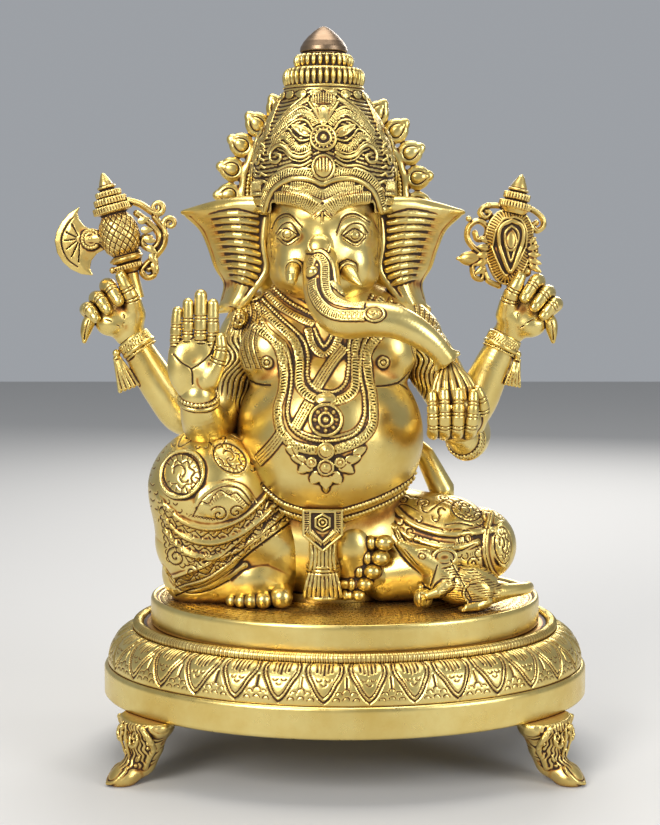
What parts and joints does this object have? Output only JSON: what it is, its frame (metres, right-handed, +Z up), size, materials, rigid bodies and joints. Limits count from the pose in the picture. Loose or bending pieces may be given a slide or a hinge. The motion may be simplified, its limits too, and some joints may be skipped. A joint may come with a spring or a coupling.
{
  "type": "ganesha idol",
  "caption": "Seated four-armed elephant-headed deity in cast brass with tall crown, petal halo and mouse, on an oval lotus base with splayed ornate feet.",
  "frame": {"origin": "on the ground, under the middle of the oval base", "axes": "+Z up to the crown's finial, -Y to the front that the figure faces, +X to the right as seen from the front"},
  "size_m": [0.3387, 0.2402, 0.457],
  "materials": {
    "polished_brass": "polished high points with dark lacquer left in the engraving",
    "aged_brass": "darker antiqued brass in the dense ornament",
    "copper_tinted_brass": "polished, reddish",
    "steel_fasteners": "zinc plated"
  },
  "bodies": {
    "root": {"front_left_foot": "aged_brass", "front_right_foot": "aged_brass", "rear_left_foot": "aged_brass", "rear_right_foot": "aged_brass", "foot_screws": "steel_fasteners", "base_rim": "polished_brass", "plinth": "polished_brass", "plinth_screws": "steel_fasteners", "seat_plate": "aged_brass", "figure_bolts": "steel_fasteners", "torso": "polished_brass", "sash": "polished_brass", "raised_leg": "polished_brass", "raised_foot": "polished_brass", "folded_leg": "polished_brass", "folded_foot": "polished_brass", "head": "polished_brass", "trunk": "polished_brass", "left_tusk": "polished_brass", "right_tusk": "polished_brass", "left_ear": "polished_brass", "right_ear": "polished_brass", "crown": "polished_brass", "crown_finial": "copper_tinted_brass", "halo": "polished_brass", "axe_arm": "polished_brass", "axe_hand": "polished_brass", "axe_mace": "aged_brass", "conch_arm": "polished_brass", "conch_hand": "polished_brass", "conch": "aged_brass", "blessing_arm": "polished_brass", "blessing_hand": "polished_brass", "offering_arm": "polished_brass", "offering_hand": "polished_brass", "modak": "aged_brass", "mouse": "polished_brass"}
  },
  "joints": []
}
